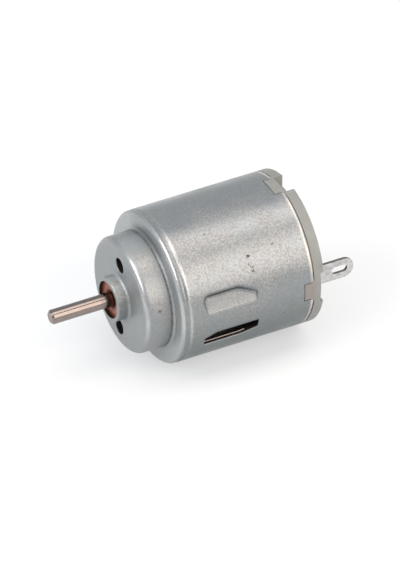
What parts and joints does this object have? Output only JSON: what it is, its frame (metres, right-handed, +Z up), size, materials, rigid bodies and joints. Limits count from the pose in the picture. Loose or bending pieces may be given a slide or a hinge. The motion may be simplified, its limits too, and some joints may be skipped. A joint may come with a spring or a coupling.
{
  "type": "dc motor",
  "caption": "Small brushed DC motor in a round plated steel can with a stepped nose, a plain output shaft and solder tags at the rear.",
  "frame": {"origin": "centre of the nose face, on the shaft's axis", "axes": "+X out along the output shaft, +Z up, +Y towards the side with the slot"},
  "size_m": [0.0408, 0.021, 0.021],
  "materials": {
    "plated_steel": "satin zinc plating on drawn sheet",
    "sintered_bronze": "oil-filled sintered bronze, turned dull",
    "ground_steel": "ground bright",
    "spring_steel": "drawn wire",
    "ferrite": "ground matt",
    "lamination_steel": "stamped sheets",
    "fibre": "pressed fibre",
    "enamelled_copper": "wound wire with clear enamel",
    "bar_copper": "turned copper",
    "phosphor_bronze": "rolled spring strip",
    "tinned_brass": "bright tin",
    "natural_nylon": "moulded, slightly translucent",
    "white_nylon": "moulded",
    "phenolic": "moulded"
  },
  "bodies": {
    "stator": {"can": "plated_steel", "front_bush": "sintered_bronze", "upper_magnet": "ferrite", "lower_magnet": "ferrite", "magnet_spring": "spring_steel", "end_cap": "natural_nylon", "near_terminal": "tinned_brass", "far_terminal": "tinned_brass", "near_brush": "phosphor_bronze", "far_brush": "phosphor_bronze"},
    "rotor": {"shaft": "ground_steel", "front_washer": "white_nylon", "rear_washer": "white_nylon", "front_spacer": "white_nylon", "core": "lamination_steel", "front_insulator": "fibre", "rear_insulator": "fibre", "commutator_hub": "phenolic", "commutator_ring": "phenolic", "coil_1": "enamelled_copper", "coil_2": "enamelled_copper", "coil_3": "enamelled_copper", "commutator_segment_1": "bar_copper", "commutator_segment_2": "bar_copper", "commutator_segment_3": "bar_copper"}
  },
  "joints": [
    {"name": "rotor_spin", "type": "hinge", "parent": "stator", "child": "rotor", "pos_m": [0, 0, 0], "axis": [1, 0, 0], "continuous": true}
  ]
}
